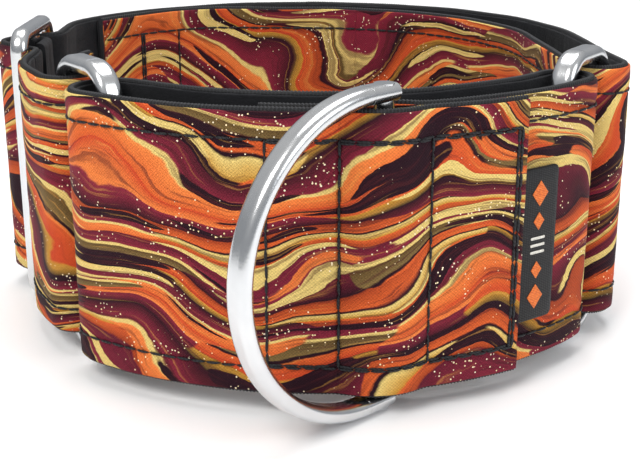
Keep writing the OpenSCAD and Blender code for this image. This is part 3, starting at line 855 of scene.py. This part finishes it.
ob = strap_run("loop_end_top", s9, 1, LOOP_U0, RIGHT_BEND, ["loop_right_top"], seams=seams9,
               drawn=(END_A_U, POCKET_R_U, s9.length))
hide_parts("loop_right_stitching")
ob = strap_run("loop_left", s7, 1, U7, LEFT_BEND, ["pocket_top", "loop_left"], seams=seams7,
               drawn=(0, END_B_U - split_u))
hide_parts("loop_left_stitching", "pocket_stitching")
strap_run("loop_right", s10, 1, U10, RIGHT_BEND, ["pocket_under", "loop_right"],
          seams=lambda t: t.hems(0, s10.length - 16))
strap_run("loop_end_under", s8, 1, U8, LEFT_BEND, ["loop_left_under"])

# ---------------------------------------------------------------- bound strap end on the adjuster
wrap_r = BAR_R + PLY_GAP + STRAP_T
lined_r = DIP_R + STRAP_T
wrap_ply = (PITCH - lined_r * math.sin(rad(RISE_A)) - FIT
            - (BAR_CORE + lined_r * math.cos(rad(RISE_A)) - BAR_R - PLY_GAP) / math.tan(rad(RISE_A)))
wrap_line = Line(trace((SLIDER_C[0] + wrap_r, SLIDER_C[1] - wrap_ply, 90),
                       [(wrap_ply, 0), (wrap_r, -180 - RISE_A), (WRAP_TAIL, 0)], -1), -1)
WRAP = round_slab(0.0, STRAP_T, Z0, Z1, 1.2, 26, 6, 6)


def wrap_shape(u, off, z):
    outer = off < STRAP_T / 2
    bulge = 0.16 + 0.08 * NAP(u, z)
    off = np.where(outer, off + np.clip(bulge, 0, 0.4), off)
    return off, z


wrap = sweep("adjuster_wrap", wrap_line, 0.0, 0.5, WRAP, wrap_shape, -1)
wrap.data.materials.append(SOFT)
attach(wrap, "slider")
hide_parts("slider_wrap")

# ---------------------------------------------------------------- side label
LABEL_W, LABEL_H, LABEL_T, LABEL_DROP = 9.0, 28.0, 0.7, 2.5
label_r = UNDER_R + FIT + LABEL_T
label_a0 = OUTER_END_A + math.degrees((FIT + 2 * PLY_GAP) / label_r)
label_mid_a = label_a0 + math.degrees(LABEL_W / 2 / label_r)
LABEL_Z = MID_Z - LABEL_DROP


def label_point(x, z, out=0.0):
    """A point on the label: x mm right of its middle, z mm above it, out mm proud of its front."""
    px, py = polar(LOOP_C, label_r + out, label_mid_a + math.degrees(x / label_r))
    return (px, py, LABEL_Z + z)


def patch(name, outline, front, back, mat, slot_name, bevel=0.0):
    """A flat patch with rounded front edge, bent to the label's curve. outline is a list of (x, z)."""
    o = np.array(outline, float)
    c = o.mean(0)
    shrink = bevel * 0.6 / max(np.ptp(o, axis=0).min() / 2, 0.1)
    rings = [(1.0, back), (1.0, front - bevel), (1 - shrink, front)]
    inner = [(0.82, front), (0.55, front), (0.25, front)]
    verts, uvs, faces = [], [], []
    for scale, out in rings + inner:
        for x, z in c + (o - c) * scale:
            verts.append(label_point(x, z, out))
            uvs.append((x, z))
    k = len(o)
    n = len(rings + inner)
    quads, caps = tube_faces(n, k)
    ob = make_object(name, verts, quads + caps, uvs)
    ob.data.materials.append(mat)
    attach(ob, "label")
    return ob


def rounded_rect(w, h, r, per=5):
    pts = []
    for cx, cz, a0 in ((w / 2 - r, h / 2 - r, 0), (-w / 2 + r, h / 2 - r, 90),
                       (-w / 2 + r, -h / 2 + r, 180), (w / 2 - r, -h / 2 + r, 270)):
        for i in range(per + 1):
            a = rad(a0 + 90 * i / per)
            pts.append((cx + r * math.cos(a), cz + r * math.sin(a)))
    out = []
    for i, p0 in enumerate(pts):
        p1 = pts[(i + 1) % len(pts)]
        gap = math.hypot(p1[0] - p0[0], p1[1] - p0[1])
        n = max(1, int(gap / 1.5))
        out += [(p0[0] + (p1[0] - p0[0]) * j / n, p0[1] + (p1[1] - p0[1]) * j / n) for j in range(n)]
    return out


ob = patch("side_label", rounded_rect(LABEL_W, LABEL_H, 0.9), -0.02, -LABEL_T + 0.02, LABEL,
           "woven_label", 0.15)
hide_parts("label_tab")


def diamond(x, z, w, h):
    return [(x + w / 2, z), (x, z + h / 2), (x - w / 2, z), (x, z - h / 2)]


DIAMONDS = [(0, 9.4, 3.8, 4.6), (0, 4.4, 2.6, 3.2), (0, -9.6, 3.8, 4.6), (0, -4.6, 2.6, 3.2)]
for i, (x, z, w, h) in enumerate(DIAMONDS):
    patch(f"label_diamond_{i + 1}", diamond(x, z, w, h), 0.06, -0.1, ORANGE_YARN, "woven_label", 0.02)
for i, z in enumerate((-1.3, 0.0, 1.3)):
    patch(f"label_dash_{i + 1}", rounded_rect(3.4, 0.5, 0.2), 0.05, -0.1, PALE_YARN, "woven_label", 0.02)
    for vtx in bpy.data.objects[f"label_dash_{i + 1}"].data.vertices:
        vtx.co.z += z * MM

# ---------------------------------------------------------------- chrome hardware keeps its CAD shape
for node in ("left_link_ring", "right_link_ring", "leash_d_ring", "slider_frame"):
    ob = frame["nodes"][node]
    ob.data.materials.clear()
    ob.data.materials.append(CHROME)
    ob.data.polygons.foreach_set("use_smooth", [True] * len(ob.data.polygons))

# ---------------------------------------------------------------- stage, light and camera
floor_me = bpy.data.meshes.new("studio_floor")
half = 4.0
corners = [(-half, -half, 0), (half, -half, 0), (half, half, 0), (-half, half, 0)]
floor_me.from_pydata(corners, [], [(0, 1, 2, 3)])
floor = bpy.data.objects.new("studio_floor", floor_me)
floor.location.z = -0.0002
bpy.context.scene.collection.objects.link(floor)
g = Graph("studio_floor")
g.finish(Base_Color=rgb(0.985, 0.985, 0.99), Roughness=0.55)
floor.data.materials.append(g.mat)


def area_light(name, location, target, size, power, colour=(1, 1, 1)):
    data = bpy.data.lights.new(name, "AREA")
    data.shape, data.size, data.energy, data.color = "DISK", size, power, colour
    ob = bpy.data.objects.new(name, data)
    ob.location = location
    ob.rotation_euler = (Vector(target) - Vector(location)).to_track_quat("-Z", "Y").to_euler()
    bpy.context.scene.collection.objects.link(ob)


area_light("key", (-0.35, -0.55, 0.75), (0, 0, 0.03), 0.45, 5.2, (1.0, 0.985, 0.96))
area_light("fill", (0.75, -0.45, 0.45), (0, 0, 0.03), 0.6, 2.6, (0.96, 0.98, 1.0))
area_light("top", (0.05, 0.25, 0.95), (0, 0, 0.0), 0.8, 6.0)

world = bpy.data.worlds.new("studio")
world.use_nodes = True
wt = world.node_tree
back = wt.nodes["Background"]
coord = wt.nodes.new("ShaderNodeTexCoord")
split = wt.nodes.new("ShaderNodeSeparateXYZ")
sky = wt.nodes.new("ShaderNodeValToRGB")
wt.links.new(coord.outputs["Generated"], split.inputs[0])
shift_up = wt.nodes.new("ShaderNodeMath")
shift_up.operation = "MULTIPLY_ADD"
shift_up.inputs[1].default_value = 0.5
shift_up.inputs[2].default_value = 0.5
wt.links.new(split.outputs["Z"], shift_up.inputs[0])
wt.links.new(shift_up.outputs[0], sky.inputs[0])
el = sky.color_ramp.elements
el[0].position, el[0].color = 0.45, (0.45, 0.47, 0.50, 1)
el[1].position, el[1].color = 0.62, (0.62, 0.64, 0.67, 1)
el.new(0.85).color = (1.0, 1.0, 1.0, 1)
wt.links.new(sky.outputs[0], back.inputs["Color"])
back.inputs["Strength"].default_value = 0.62
bpy.context.scene.world = world

cam_data = bpy.data.cameras.new("camera")
cam = bpy.data.objects.new("camera", cam_data)
cam.location = (0.00437, -0.24013, 0.0936)
cam.rotation_euler = (rad(71.98), 0, 0)
cam_data.lens, cam_data.sensor_width = 67.5, 36.0
cam_data.clip_start, cam_data.clip_end = 0.005, 30
bpy.context.scene.collection.objects.link(cam)
bpy.context.scene.camera = cam
bpy.context.scene.view_settings.view_transform = "Standard"
